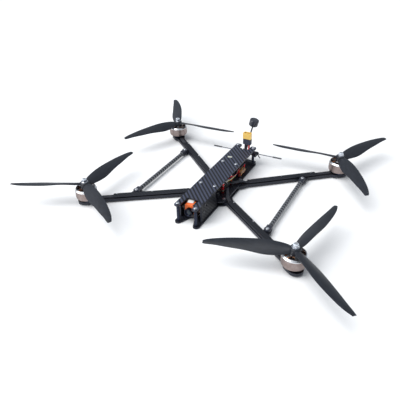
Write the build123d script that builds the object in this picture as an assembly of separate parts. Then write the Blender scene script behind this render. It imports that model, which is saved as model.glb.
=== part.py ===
from build123d import *
import math
import os

# Long-range FPV quadcopter, 10-inch class.  Millimetres, +Z up, nose toward -Y, the drone's left is +X.
# The origin is the middle of the belly: the underside of the bottom plate, on the frame's centre line.

# ---- plates and levels -----------------------------------------------------------------------------
PLATE = 2.5                                   # carbon plate thickness of the three body plates
ARM_T = 5.0                                   # carbon arm thickness
ARM_Z = PLATE                                 # arms lie on the bottom plate
MID_Z = ARM_Z + ARM_T                         # the mid plate lies on the arm roots
BAY_Z = MID_Z + PLATE                         # floor of the electronics bay
TOP_Z = 33.3                                  # underside of the top plate
TOP_HALF = 20.5                               # half width of the top plate
BELLY_HALF = 22.0                             # half width of the bottom plate
NOSE_Y = -122.5                               # front end of the top plate's ears
NOTCH_Y = -94.5                               # bottom of the top plate's nose notch
TAIL_Y = 113.0                                # rear end of the top plate's prongs
CENTRE_Y = -6.0                               # middle of the arm cross and of the electronics stack
STACK = 30.5                                  # electronics hole pattern
POST_X = 16.0                                 # long standoffs, from the centre line
NOSE_POST_Y = -117.0
TAIL_POST_Y = 107.0
SHORT_X = 13.0                                # short standoffs on the mid plate
SHORT_FRONT_Y = -46.5
SHORT_REAR_Y = 36.0

# ---- arms and motors -------------------------------------------------------------------------------
MOTOR_FRONT = (184.0, -140.5)                 # front motor axis on the left side
MOTOR_REAR = (171.6, 140.5)
ROOT_FRONT = (25.0, -30.3)                    # a point of the front arm's centre line at the body
ROOT_REAR = (25.0, 19.6)
ARM_W = 13.0                                  # arm width
ROOT_W = 20.0                                 # flared width inside the body
PAD_R = 11.5                                  # rounded motor pad
PAD_OUT = 5.0                                 # the pad's round end, beyond the motor axis
COVER_T = 1.5                                 # wire cover on each arm
COVER_W = 11.0
COVER_SIDE = 4.1                              # its small screws, off the arm's centre line
COVER_END = 44.0                              # its outer end, from the motor axis
COVER_ROOT_X = 39.0                           # its inner end, from the centre line
WIRE_GAP = 1.7                                # room for the phase wires under the cover
WIRE_D = 1.6
MOTOR_HOLE_R = 9.5                            # motor screw circle
BRACE_X = 122.5                               # brace tubes run along Y at this distance
BRACE_Z = 7.0
BRACE_R = 3.8
LUG_FRONT_Y = -83.0
LUG_REAR_Y = 84.0

SHAFT_R = 2.5
RING_R = 18.3                                 # rotor outer radius
RING_IN = 15.6
STATOR_R = 15.2
RING_LOW = 12.8
RING_TOP = 28.0
BELL_TOP = 31.5
HUB_TOP = 41.2
NUT_TOP = 47.3
PROP_R = 127.0                                # ten-inch propeller
TIP_Z = 38.5
BLADES = 3
# rest angle of one blade and spin direction seen from above (+1 is anticlockwise)
ROTORS = {
    "front_right": (-1, MOTOR_FRONT, 207.7, 1),
    "rear_right": (-1, MOTOR_REAR, 244.25, -1),
    "rear_left": (1, MOTOR_REAR, 183.35, 1),
    "front_left": (1, MOTOR_FRONT, 200.2, -1),
}

# ---- camera ----------------------------------------------------------------------------------------
PIVOT_Y = -99.0                               # camera tilt axis, along X
PIVOT_Z = 19.6
LOCK_R = 11.8                                 # clamp screw, from the tilt axis
LOCK_ANGLE = 68.7                             # its direction at rest, from +Y toward +Z
TILT_UP = 35.0
TILT_DOWN = 8.0
CHEEK_X = 18.0                                # inner face of the camera side plates
CHEEK_FRONT = -105.5                          # their front edge

# ---- electronics -----------------------------------------------------------------------------------
ESC_Z = 15.0                                  # underside of the speed controller
FC_Z = 23.4                                   # underside of the flight controller
BOARD_T = 1.6
STACK_TOP = 28.6
PAD_PITCH = 3.0                               # motor pads along the speed controller's edges
PADS_OUT = 7.5                                # middle pad of each motor, from the stack's middle
VTX_Y = 59.0                                  # middle of the video transmitter
VTX_Z = 21.0
FOOT_X = 13.2                                 # its corner posts
FOOT_Y = 12.2
CAN_R = 6.3                                   # input capacitor
CAN_X = 11.9

# ---- battery plug ----------------------------------------------------------------------------------
PLUG_X = 1.0
PLUG_Y = 112.0
PLUG_LOW = 50.7
PLUG_TOP = 62.6
PLUG_FLOOR = 54.4                             # floor of the socket
PIN_X = 3.85                                  # contact pins, from the plug's middle
LEAD_R = 1.8
LEAD_TOP = 39.5

# ---- antennas --------------------------------------------------------------------------------------
MAST_FOOT = (-7.0, 119.5, 16.0)
MAST_LEAN = 14.0                              # lean of the video antenna toward the drone's left
MAST = 68.0                                   # from the foot to the middle of the head
DIPOLE_X = -1.2
DIPOLE_Y = 115.6
DIPOLE_Z = 20.0
DIPOLE_TILT = 1.6
EAR_IN = 13.2                                 # the dipole's cradles behind the rear standoffs
EAR_OUT = 21.0
EAR_BACK = 117.4


# ---- helpers ---------------------------------------------------------------------------------------
def box(x0, x1, y0, y1, z0, z1):
    return Pos((x0 + x1) / 2, (y0 + y1) / 2, (z0 + z1) / 2) * Box(x1 - x0, y1 - y0, z1 - z0)


def post(x, y, z0, z1, radius):
    return Pos(x, y, (z0 + z1) / 2) * Cylinder(radius, z1 - z0)


def rod_x(x0, x1, y, z, radius):
    return Pos((x0 + x1) / 2, y, z) * Rot(0, 90, 0) * Cylinder(radius, x1 - x0)


def rod_y(x, y0, y1, z, radius):
    return Pos(x, (y0 + y1) / 2, z) * Rot(90, 0, 0) * Cylinder(radius, y1 - y0)


def rounded(points, radius):
    """A flat outline with every corner rounded."""
    face = make_face(Polyline(*points, close=True))
    return fillet(face.vertices(), radius)


def slab(face, z, thickness):
    return extrude(Pos(0, 0, z) * face, thickness, dir=(0, 0, 1))


def mirrored(points):
    """A left-hand outline, front to rear, closed by its mirror image."""
    return points + [(-x, y) for x, y in reversed(points)]


def lathe(points):
    """A turned solid from (radius, height) points."""
    face = make_face(Polyline(*[(r, 0, z) for r, z in points], close=True))
    return revolve(face, Axis.Z)


def both(solid):
    return [solid, mirror(solid, Plane.YZ)]


def screw(x, y, z, length, up=True, head_r=2.8, head_h=1.7, shank_r=1.5, socket=1.05):
    """A button-head screw: z is the seat under its head, the shank points down when up is true."""
    sign = 1 if up else -1
    head = Pos(x, y, z + sign * head_h / 2) * Cylinder(head_r, head_h)
    head = fillet(head.edges().filter_by(GeomType.CIRCLE).sort_by(Axis.Z)[-1 if up else 0], head_h / 2)
    body = head + post(x, y, min(z, z - sign * length), max(z, z - sign * length), shank_r)
    recess = Pos(x, y, z + sign * head_h) * extrude(RegularPolygon(socket, 6), 1.0, both=True)
    return body - recess


def countersunk(x, y, z, length, head_r=2.9, head_h=1.7, shank_r=1.5):
    """A flat-head screw driven upward, flush with the surface at z."""
    cone = Pos(x, y, z + head_h / 2) * Cone(head_r, shank_r, head_h)
    recess = Pos(x, y, z) * extrude(RegularPolygon(1.0, 6), 1.0)
    return cone + post(x, y, z + head_h, z + length, shank_r) - recess


def standoff(x, y, z0, z1, radius=2.5, bore=1.55):
    body = post(x, y, z0, z1, radius) - post(x, y, z0, z1, bore)
    for level in (z0 + 4.0, z1 - 4.0):
        waist = post(x, y, level - 1, level + 1, radius - 0.35)
        body -= post(x, y, level - 0.5, level + 0.5, radius + 1) - waist
    return body


# ---- arm geometry ----------------------------------------------------------------------------------
def arm_axis(root, motor):
    """Unit direction from the root to the motor, and the length between them."""
    dx = motor[0] - root[0]
    dy = motor[1] - root[1]
    length = math.hypot(dx, dy)
    return dx / length, dy / length, length


def on_arm(root, motor, along, across):
    """A point given by its distance inward from the motor axis and to the left of the outward way."""
    ux, uy, length = arm_axis(root, motor)
    return motor[0] - ux * along - uy * across, motor[1] - uy * along + ux * across


def along_at_x(root, motor, x):
    ux, uy, length = arm_axis(root, motor)
    return (motor[0] - x) / ux


def arm_strip(root, motor, start, end, width, z, thickness, corner=0.0):
    """A straight strip along the arm between two distances from the motor axis."""
    half = width / 2
    ends = ((start, -half), (end, -half), (end, half), (start, half))
    face = make_face(Polyline(*[on_arm(root, motor, s, t) for s, t in ends], close=True))
    if corner:
        face = fillet(face.vertices(), corner)
    return slab(face, z, thickness)


def motor_holes(root, motor, radius, hole, z0, z1):
    ux, uy, length = arm_axis(root, motor)
    turn = math.degrees(math.atan2(uy, ux)) + 45
    holes = []
    for k in range(4):
        a = math.radians(turn + 90 * k)
        holes.append(post(motor[0] + radius * math.cos(a), motor[1] + radius * math.sin(a), z0, z1, hole))
    return holes


def arm_plate(root, motor, lug_y, split):
    """One left-hand arm; split is +1 for the rear arm, which keeps the rear side of the arm cross."""
    reach = along_at_x(root, motor, 0.0)
    flare = along_at_x(root, motor, 38.0)
    neck = along_at_x(root, motor, 31.0)
    body = arm_strip(root, motor, 0, reach, ARM_W, ARM_Z, ARM_T)
    half_root = ROOT_W / 2
    half_arm = ARM_W / 2
    wedge = [(flare, -half_arm), (neck, -half_root), (reach + 12, -half_root)]
    wedge += [(reach + 12, half_root), (neck, half_root), (flare, half_arm)]
    corners = [on_arm(root, motor, s, t) for s, t in wedge]
    body += slab(make_face(Polyline(*corners, close=True)), ARM_Z, ARM_T)
    outer = on_arm(root, motor, -PAD_OUT, 0)
    inner = on_arm(root, motor, PAD_OUT, 0)
    body += post(outer[0], outer[1], ARM_Z, MID_Z, PAD_R)
    body += post(inner[0], inner[1], ARM_Z, MID_Z, PAD_R)
    body += arm_strip(root, motor, -PAD_OUT, PAD_OUT, 2 * PAD_R, ARM_Z, ARM_T)
    body += post(BRACE_X, lug_y, ARM_Z, MID_Z, 6.3)
    stem_y = lug_y - 12 if split < 0 else lug_y + 12
    body += box(BRACE_X - 6.3, BRACE_X + 6.3, min(lug_y, stem_y), max(lug_y, stem_y), ARM_Z, MID_Z)
    gap = 0.15
    if split > 0:
        body -= box(-60, 60, -90, CENTRE_Y + gap, ARM_Z - 1, MID_Z + 1)
    else:
        body -= box(-60, 60, CENTRE_Y - gap, 90, ARM_Z - 1, MID_Z + 1)
    body -= box(-60, gap, -90, 90, ARM_Z - 1, MID_Z + 1)
    cuts = motor_holes(root, motor, MOTOR_HOLE_R, 1.6, ARM_Z - 1, MID_Z + 1)
    cuts.append(post(motor[0], motor[1], ARM_Z - 1, MID_Z + 1, 4.0))
    cuts.append(post(BRACE_X, lug_y, ARM_Z - 1, MID_Z + 1, 1.6))
    for x, y in arm_screw_places(split):
        cuts.append(post(x, y, ARM_Z - 1, MID_Z + 1, 1.6))
    for s in cover_screw_stations(root, motor):
        x, y = on_arm(root, motor, s, COVER_SIDE)
        cuts.append(post(x, y, ARM_Z + 1.0, MID_Z + 1, 1.0))
    return body - cuts


def arm_screw_places(split):
    """The two screws that clamp each arm root between the plates."""
    if split < 0:
        return [(27.3, -40.0), (10.5, -29.5)]
    return [(26.2, 29.0), (10.5, 19.0)]


def arm_places():
    """All eight arm screws."""
    return [(side * x, y) for side in (-1, 1) for split in (-1, 1) for x, y in arm_screw_places(split)]


def cover_screw_stations(root, motor):
    """Distances from the motor axis of the small screws that hold the wire cover."""
    first = COVER_END + 6
    last = along_at_x(root, motor, COVER_ROOT_X) - 6
    return [first, (first + last) / 2, last]


def arm_cover(root, motor):
    """The narrow carbon cover that hides the phase wires, on its spacer pads."""
    end = along_at_x(root, motor, COVER_ROOT_X)
    top = MID_Z + WIRE_GAP
    cover = arm_strip(root, motor, COVER_END, end, COVER_W, top, COVER_T, 2.0)
    for s in cover_screw_stations(root, motor):
        x, y = on_arm(root, motor, s, COVER_SIDE)
        cover += post(x, y, MID_Z, top + 0.2, 1.2)
        cover -= post(x, y, MID_Z - 1, top + COVER_T + 1, 0.75)
    return cover


# ---- body plates -----------------------------------------------------------------------------------
def wing_outline():
    """Where the plates widen over the arm roots, left side, front to rear."""
    front = [(21.0, -51), (30.5, -45), (32.0, -39), (31.0, -22)]
    rear = [(31.0, 11), (30.0, 31), (27.0, 35), (21.0, 40)]
    return front + rear


def bottom_plate():
    strip = box(-BELLY_HALF, BELLY_HALF, NOSE_POST_Y, TAIL_POST_Y, 0, PLATE)
    plate = strip + slab(rounded(mirrored(wing_outline()), 2.0), 0, PLATE)
    for side in (-1, 1):
        plate += post(side * (BELLY_HALF - 5.5), NOSE_POST_Y, 0, PLATE, 5.5)
        plate += post(side * (BELLY_HALF - 5.5), TAIL_POST_Y, 0, PLATE, 5.5)
    nose_notch = rounded(mirrored([(11.5, -130), (10.5, -116), (3.0, -99)]), 2.0)
    tail_notch = rounded([(-9.5, 120), (9.5, 120), (9.5, 104.5), (-9.5, 104.5)], 3.0)
    plate -= slab(nose_notch, -1, PLATE + 2)
    plate -= slab(tail_notch, -1, PLATE + 2)
    for y0 in (-92, -76, -60):
        slot = rounded([(-9, y0), (9, y0), (9, y0 + 9), (-9, y0 + 9)], 3.0)
        plate -= slab(slot, -1, PLATE + 2)
    for x, y in long_places() + arm_places():
        plate -= post(x, y, -1, PLATE + 1, 1.6)
        plate -= Pos(x, y, 0.85) * Cone(3.0, 1.6, 1.7)
    plate -= tab_slots(-1, PLATE + 1, CHEEK_X + PLATE + 0.05)
    return plate


def long_places():
    """The long standoffs at the four corners of the body."""
    return [(side * POST_X, y) for side in (-1, 1) for y in (NOSE_POST_Y, TAIL_POST_Y)]


def short_places():
    """The short standoffs on the mid plate."""
    return [(side * SHORT_X, y) for side in (-1, 1) for y in (SHORT_FRONT_Y, SHORT_REAR_Y)]


def stack_places():
    return [(sx * STACK / 2, CENTRE_Y + sy * STACK / 2) for sx in (-1, 1) for sy in (-1, 1)]


def mid_plate():
    strip = box(-TOP_HALF, TOP_HALF, -51, 44, MID_Z, BAY_Z)
    plate = strip + slab(rounded(mirrored(wing_outline()), 2.0), MID_Z, PLATE)
    for x, y in short_places() + arm_places() + stack_places():
        plate -= post(x, y, MID_Z - 1, BAY_Z + 1, 1.6)
    window = rounded([(-7, CENTRE_Y - 9), (7, CENTRE_Y - 9), (7, CENTRE_Y + 9), (-7, CENTRE_Y + 9)], 3.0)
    return plate - slab(window, MID_Z - 1, PLATE + 2)


def top_plate():
    outline = [(11.0, NOSE_Y), (TOP_HALF, NOSE_Y), (TOP_HALF, TAIL_Y), (9.5, TAIL_Y)]
    outline += [(9.5, 94), (-9.5, 94), (-9.5, TAIL_Y), (-TOP_HALF, TAIL_Y)]
    outline += [(-TOP_HALF, NOSE_Y), (-11.0, NOSE_Y), (-11.0, NOTCH_Y), (11.0, NOTCH_Y)]
    plate = slab(rounded(outline, 3.2), TOP_Z, PLATE)
    for x, y in long_places() + short_places():
        plate -= post(x, y, TOP_Z - 1, TOP_Z + PLATE + 1, 1.6)
    return plate - tab_slots(TOP_Z - 1, TOP_Z + PLATE + 1, TOP_HALF + 1)


def camera_plate_tabs():
    """The tabs, along Y, that key each camera side plate into the bottom and top plates."""
    return [(-104.0, -96.0), (-70.0, -62.0)]


def tab_slots(z0, z1, outer):
    """Cutters for the slots that take those tabs, on both sides."""
    cuts = []
    for y0, y1 in camera_plate_tabs():
        cuts += both(box(CHEEK_X - 0.05, outer, y0 - 0.1, y1 + 0.1, z0, z1))
    return cuts


def camera_plate():
    """The left camera side plate, standing between the bottom and top plates."""
    front = CHEEK_FRONT
    corners = [(front, PLATE), (-52, PLATE), (-52, 8.5), (-58, TOP_Z - 7), (-58, TOP_Z), (front, TOP_Z)]
    face = make_face(Polyline(*[(CHEEK_X, y, z) for y, z in corners], close=True))
    plate = extrude(face, PLATE, dir=(1, 0, 0))
    for y0, y1 in camera_plate_tabs():
        plate += box(CHEEK_X, CHEEK_X + PLATE, y0, y1, 0.3, PLATE)
        plate += box(CHEEK_X, CHEEK_X + PLATE, y0, y1, TOP_Z, TOP_Z + PLATE - 0.3)
    plate -= rod_x(CHEEK_X - 1, CHEEK_X + PLATE + 1, PIVOT_Y, PIVOT_Z, 1.1)
    sweep_steps = 12
    spread = TILT_UP + TILT_DOWN + 6
    first = LOCK_ANGLE + TILT_DOWN + 3
    slot = None
    for k in range(sweep_steps):
        a = math.radians(first - spread * k / (sweep_steps - 1))
        y = PIVOT_Y + LOCK_R * math.cos(a)
        z = PIVOT_Z + LOCK_R * math.sin(a)
        hole = rod_x(CHEEK_X - 1, CHEEK_X + PLATE + 1, y, z, 1.3)
        slot = hole if slot is None else slot + hole
    return plate - slot


# ---- motors ----------------------------------------------------------------------------------------
def motor_base(x, y):
    """The fixed foot: a flange on the arm, and the bearing tube that carries the stator."""
    profile = [(5.5, MID_Z), (11.4, MID_Z), (11.4, 10.2), (10.4, 11.2), (8.2, 12.4), (8.2, 13.6), (7.0, 13.6)]
    profile += [(7.0, 26.6), (5.5, 26.6)]
    return Pos(x, y, 0) * lathe(profile)


def motor_bearings(x, y):
    ring = lathe([(SHAFT_R + 0.05, 0), (5.45, 0), (5.45, 5), (SHAFT_R + 0.05, 5)])
    return [Pos(x, y, 8.2) * ring, Pos(x, y, 21.4) * ring]


def motor_stator(x, y):
    """Twelve-tooth laminated stator on the bearing tube."""
    low, high = 15.0, 25.0
    core = lathe([(7.05, low), (9.2, low), (9.2, high), (7.05, high)])
    tooth = box(9.0, 14.0, -1.2, 1.2, low, high)
    shoe = lathe([(13.8, low), (STATOR_R, low), (STATOR_R, high), (13.8, high)])
    for k in range(12):
        core += Rot(0, 0, 30 * k) * tooth
        core += (Rot(0, 0, 30 * k) * box(12, 16, -2.9, 2.9, low, high)) & shoe
    return Pos(x, y, 0) * core


def motor_winding(x, y):
    """Twelve copper coils, one on each tooth."""
    coil = box(9.5, 13.5, -2.15, 2.15, 13.9, 26.1)
    coil = fillet(coil.edges().filter_by(Axis.X), 0.6) - box(9.0, 14.0, -1.25, 1.25, 14.95, 25.05)
    return [Pos(x, y, 0) * Rot(0, 0, 30 * k) * coil for k in range(12)]


def motor_bell(x, y):
    """The rotor's cap: a chamfered rim, six spokes, the hub and the threaded shaft."""
    rim_outer = [(RING_IN, RING_TOP), (RING_R, RING_TOP), (RING_R, 28.9), (16.4, 31.2)]
    rim = lathe(rim_outer + [(15.2, 31.2), (RING_IN, 29)])
    hub = lathe([(0, 27.6), (6.2, 27.6), (7.6, 28.6), (7.6, BELL_TOP), (0, BELL_TOP)])
    cap = rim + hub
    for k in range(6):
        cap += Rot(0, 0, 60 * k) * box(6.5, 15.9, -1.7, 1.7, 28.6, 31.0)
    cap += post(0, 0, 7.9, NUT_TOP + 0.6, SHAFT_R)
    return Pos(x, y, 0) * cap


def motor_ring(x, y):
    """The steel flux ring with its magnets, grooved between the magnets."""
    rounded_edge = [(16.7, RING_LOW), (17.5, 13.6), (18.1, 15.2), (RING_R, 17.2)]
    ring = lathe([(RING_IN, RING_LOW)] + rounded_edge + [(RING_R, RING_TOP), (RING_IN, RING_TOP)])
    for k in range(14):
        ring -= Rot(0, 0, 360 / 14 * k) * box(15.0, 16.5, -0.4, 0.4, RING_LOW + 1.2, RING_TOP - 1.2)
    return Pos(x, y, 0) * ring


# Blade stations: radius, leading and trailing edge from the blade's axis, pitch in degrees,
# thickness, and height of the blade's axis.
STATIONS = [
    (5.0, 5.0, -5.0, 24, 4.0, 36.6),
    (14.0, 8.6, -8.4, 24, 3.2, 36.9),
    (26.0, 10.4, -10.4, 26, 2.9, 37.3),
    (42.0, 11.6, -11.2, 25, 2.6, 37.7),
    (60.0, 12.0, -9.2, 18.6, 2.2, 38.0),
    (80.0, 11.2, -7.2, 14.2, 1.8, 38.3),
    (100.0, 9.2, -5.4, 11.4, 1.5, 38.4),
    (116.0, 6.2, -4.2, 9.8, 1.2, 38.5),
    (126.5, 2.4, -3.2, 9.1, 0.9, 38.5),
]


def blade_section(station, hand):
    """A thin cambered section, square to the blade's axis, which lies along +X."""
    radius, lead, trail, pitch, thick, height = station
    pitch = math.radians(pitch)

    def place(s, h):
        return (radius, hand * (s * math.cos(pitch) - h * math.sin(pitch)),
                height + s * math.sin(pitch) + h * math.cos(pitch))

    chord = lead - trail
    middle = lead - 0.42 * chord
    edge = 0.22 * thick
    top = Spline(place(trail, edge * 0.6), place(middle, thick * 0.85), place(lead, edge))
    bottom = Spline(place(lead, -edge), place(middle, -thick * 0.05), place(trail, -edge * 0.6))
    nose = Line(place(lead, edge), place(lead, -edge))
    tail = Line(place(trail, -edge * 0.6), place(trail, edge * 0.6))
    return make_face([top, nose, bottom, tail])


def propeller(x, y, angle, hand):
    blade = loft([blade_section(station, hand) for station in STATIONS])
    hub = post(0, 0, BELL_TOP + 0.1, HUB_TOP, 8.0)
    hub = fillet(hub.edges().filter_by(GeomType.CIRCLE).sort_by(Axis.Z)[-1], 1.2)
    body = hub
    for k in range(BLADES):
        body += Rot(0, 0, 360 / BLADES * k) * blade
    for k in range(6):
        body -= Rot(0, 0, 60 * k + 30) * post(5.4, 0, 30, BELL_TOP + 4, 1.1)
    body -= post(0, 0, 20, 60, SHAFT_R + 0.05)
    return Pos(x, y, 0) * Rot(0, 0, angle) * body


def prop_nut(x, y):
    """A flanged M5 lock nut with its nylon collar."""
    flange = post(0, 0, HUB_TOP, HUB_TOP + 1.2, 5.6)
    hexagon = Pos(0, 0, HUB_TOP) * extrude(RegularPolygon(4.62, 6), 4.6)
    collar = post(0, 0, HUB_TOP + 4.4, NUT_TOP, 3.9)
    collar = fillet(collar.edges().filter_by(GeomType.CIRCLE).sort_by(Axis.Z)[-1], 0.7)
    return Pos(x, y, 0) * (flange + hexagon + collar - post(0, 0, 40, 60, SHAFT_R + 0.05))


def phase_wires(root, motor, end_y):
    """Three phase wires from the motor foot, under the cover, up to the speed controller's pads."""
    wires = []
    low = MID_Z + WIRE_D / 2 + 0.05
    pad_z = ESC_Z + BOARD_T + WIRE_D / 2 + 0.1
    bend = 2.5
    for k, across in enumerate((-2.2, -0.2, 1.8)):
        start = on_arm(root, motor, 15.0, across)
        under = on_arm(root, motor, along_at_x(root, motor, COVER_ROOT_X - 1), across)
        lift = on_arm(root, motor, along_at_x(root, motor, 31.5), across)
        pad_y = end_y + (k - 1) * PAD_PITCH
        points = [
            (start[0], start[1], low),
            (under[0], under[1], low),
            (lift[0], lift[1], BAY_Z + 2.6),
            (22.5, pad_y + (lift[1] - pad_y) * 0.15, pad_z),
            (15.0, pad_y, pad_z),
        ]
        path = FilletPolyline(*points, radius=bend)
        profile = Plane(origin=path @ 0, z_dir=path % 0) * Circle(WIRE_D / 2)
        wires.append(sweep(profile, path))
    return wires


# ---- braces ----------------------------------------------------------------------------------------
def brace_tube():
    y0 = LUG_FRONT_Y + 11
    y1 = LUG_REAR_Y - 11
    return rod_y(BRACE_X, y0, y1, BRACE_Z, BRACE_R) - rod_y(BRACE_X, y0 - 1, y1 + 1, BRACE_Z, BRACE_R - 1.0)


def brace_end(lug_y, way):
    """The eye bolted on the arm's lug, with the spigot that plugs into the tube; way points inward."""
    eye = post(BRACE_X, lug_y, MID_Z, 11.0, 5.4)
    neck_y = lug_y + way * 7.0
    stop_y = lug_y + way * 11.0
    tip_y = lug_y + way * 23.0
    eye += box(BRACE_X - 4.4, BRACE_X + 4.4, min(lug_y, stop_y), max(lug_y, stop_y), MID_Z, 11.0)
    eye += box(BRACE_X - 4.4, BRACE_X + 4.4, min(neck_y, stop_y), max(neck_y, stop_y), 3.0, 11.0)
    eye += rod_y(BRACE_X, min(stop_y, tip_y), max(stop_y, tip_y), BRACE_Z, BRACE_R - 1.05)
    return eye - post(BRACE_X, lug_y, MID_Z - 1, 12, 1.6)


# ---- camera ----------------------------------------------------------------------------------------
def camera_bracket():
    """The flexible cradle under and beside the camera, with its pivot and clamp bosses."""
    y0, y1 = PIVOT_Y - 7.5, PIVOT_Y + 6.5
    shell = box(-11, 11, y0, y1, PIVOT_Z - 10.8, PIVOT_Z + 10.8)
    shell = fillet(shell.edges().filter_by(Axis.Y), 2.5)
    shell -= box(-9.6, 9.6, y0 + 1.5, y1 + 1, PIVOT_Z - 9.6, PIVOT_Z + 12)
    shell -= box(-9.6, 9.6, y0 - 1, y1 + 1, PIVOT_Z - 1.0, PIVOT_Z + 12)
    shell -= rod_y(0, y0 - 1, y0 + 3, PIVOT_Z, 7.6)
    a = math.radians(LOCK_ANGLE)
    lock_y = PIVOT_Y + LOCK_R * math.cos(a)
    lock_z = PIVOT_Z + LOCK_R * math.sin(a)
    web = box(9.8, 11, lock_y - 4.5, lock_y + 2.0, PIVOT_Z + 2, lock_z + 1.0)
    boss_end = CHEEK_X - 0.3
    boss = rod_x(11, boss_end, PIVOT_Y, PIVOT_Z, 3.6) + rod_x(9.8, boss_end, lock_y, lock_z, 2.0) + web
    boss -= rod_x(12, CHEEK_X + 1, PIVOT_Y, PIVOT_Z, 0.95)
    boss -= rod_x(12, CHEEK_X + 1, lock_y, lock_z, 0.95)
    for part in both(boss):
        shell += part
    return shell


def camera_body():
    """The camera's case, its raised front and its rear cover."""
    case = box(-9.5, 9.5, PIVOT_Y - 5.9, PIVOT_Y + 6.5, PIVOT_Z - 9.5, PIVOT_Z + 10.4)
    case += box(-9.5, 9.5, PIVOT_Y - 7.3, PIVOT_Y - 5.9, PIVOT_Z - 0.9, PIVOT_Z + 10.4)
    case = fillet(case.edges().filter_by(Axis.Y).group_by(Axis.Z)[-1], 1.5)
    case += box(-8.8, 8.8, PIVOT_Y + 6.5, PIVOT_Y + 11.5, PIVOT_Z - 8.8, PIVOT_Z + 8.8)
    case -= rod_y(0, PIVOT_Y - 8, PIVOT_Y - 1, PIVOT_Z, 6.55)
    return case


def camera_lens():
    """The M12 lens: a stepped barrel with a ribbed focus ring."""
    y = PIVOT_Y
    barrel = rod_y(0, y - 9.5, y - 1.0, PIVOT_Z, 6.5)
    barrel += rod_y(0, y - 14.0, y - 9.5, PIVOT_Z, 7.0)
    for k in range(4):
        core = rod_y(0, y - 11 - k, y - 10 - k, PIVOT_Z, 6.7)
        barrel -= rod_y(0, y - 10.6 - k, y - 10.2 - k, PIVOT_Z, 8) - core
    dish = Pos(0, y - 14.0 + 0.9, PIVOT_Z) * Rot(-90, 0, 0) * Cone(5.6, 4.4, 1.8)
    return barrel - dish


def camera_screws():
    """Pivot and clamp screws, both sides, driven inward along X."""
    a = math.radians(LOCK_ANGLE)
    places = [(PIVOT_Y, PIVOT_Z), (PIVOT_Y + LOCK_R * math.cos(a), PIVOT_Z + LOCK_R * math.sin(a))]
    screws = []
    for y, z in places:
        base = screw(0, 0, 0, 7.0, head_r=1.9, head_h=1.2, shank_r=0.9, socket=0.7)
        placed = Pos(CHEEK_X + PLATE + 0.05, y, z) * Rot(0, 90, 0) * base
        screws += both(placed)
    return screws


# ---- electronics -----------------------------------------------------------------------------------
def board(width, length, y, z, holes):
    right_edge = [(width / 2, y - length / 2), (width / 2, y + length / 2)]
    plate = slab(rounded(mirrored(right_edge), 2.5), z, BOARD_T)
    for hx, hy in holes:
        plate -= post(hx, hy, z - 1, z + BOARD_T + 1, 1.65)
    return plate


def speed_controller():
    """The four-in-one speed controller: a board with its power stages and pads."""
    plate = board(37, 41, CENTRE_Y, ESC_Z, stack_places())
    low = ESC_Z + BOARD_T
    for sx in (-1, 1):
        for k in range(4):
            y = CENTRE_Y - 7.5 + 5 * k
            plate += box(sx * 8 - 2.3, sx * 8 + 2.3, y - 2, y + 2, low - 0.1, low + 1.1)
    plate += box(-4, 4, CENTRE_Y - 6, CENTRE_Y + 6, low - 0.1, low + 0.9)
    return plate


def flight_controller():
    plate = board(36, 36, CENTRE_Y, FC_Z, stack_places())
    high = FC_Z + BOARD_T
    plate += box(-4, 4, CENTRE_Y - 4, CENTRE_Y + 4, high - 0.1, high + 1.0)
    plate += box(-3.5, 3.5, CENTRE_Y + 9, CENTRE_Y + 16, high - 0.1, high + 2.8)
    plate += box(7, 11.5, CENTRE_Y - 8, CENTRE_Y - 4, high - 0.1, high + 1.2)
    plate += box(-12, -7.5, CENTRE_Y + 1, CENTRE_Y + 7, high - 0.1, high + 1.6)
    return plate


def stack_posts():
    """Red spacers under, between and on the boards, and under the video transmitter."""
    pieces = []
    for x, y in stack_places():
        for z0, z1 in ((BAY_Z, ESC_Z), (ESC_Z + BOARD_T, FC_Z), (FC_Z + BOARD_T, STACK_TOP)):
            pieces.append(post(x, y, z0, z1, 2.7) - post(x, y, z0 - 1, z1 + 1, 1.6))
    for sx in (-1, 1):
        for sy in (-1, 1):
            pieces.append(post(sx * FOOT_X, VTX_Y + sy * FOOT_Y, PLATE, VTX_Z, 1.9))
    return pieces


def video_transmitter():
    """A transmitter board with a finned heat spreader, on four posts of its own."""
    body = board(32, 30, VTX_Y, VTX_Z, [])
    sink_z = VTX_Z + BOARD_T
    body += box(-11, 11, VTX_Y - 10.5, VTX_Y + 10.5, sink_z - 0.1, sink_z + 2.4)
    for k in range(6):
        x = -9.5 + 3.8 * k
        body += box(x - 0.7, x + 0.7, VTX_Y - 10.5, VTX_Y + 10.5, sink_z + 2.3, sink_z + 4.9)
    return body


def receiver():
    body = box(-6.5, 6.5, 78, 90, PLATE, PLATE + 1.4) + box(-3.5, 3.5, 80, 87, PLATE + 1.3, PLATE + 3.2)
    return body + box(-1.4, 1.4, 87.2, 89.8, PLATE + 1.3, PLATE + 2.6)


def capacitor():
    """The input capacitor lying under the video transmitter, with its two leads."""
    z = PLATE + CAN_R + 0.05
    can = rod_y(CAN_X, VTX_Y - 10, VTX_Y + 10, z, CAN_R)
    can = fillet(can.edges().filter_by(GeomType.CIRCLE), 0.8)
    groove_y = VTX_Y - 8
    neck = rod_y(CAN_X, groove_y - 1, groove_y + 2, z, CAN_R - 0.4)
    can -= rod_y(CAN_X, groove_y, groove_y + 0.8, z, CAN_R + 1) - neck
    for dx in (-4.5, -1.5):
        can += rod_y(CAN_X + dx, VTX_Y - 14.5, VTX_Y - 9.8, z, 0.5)
    return can


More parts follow.
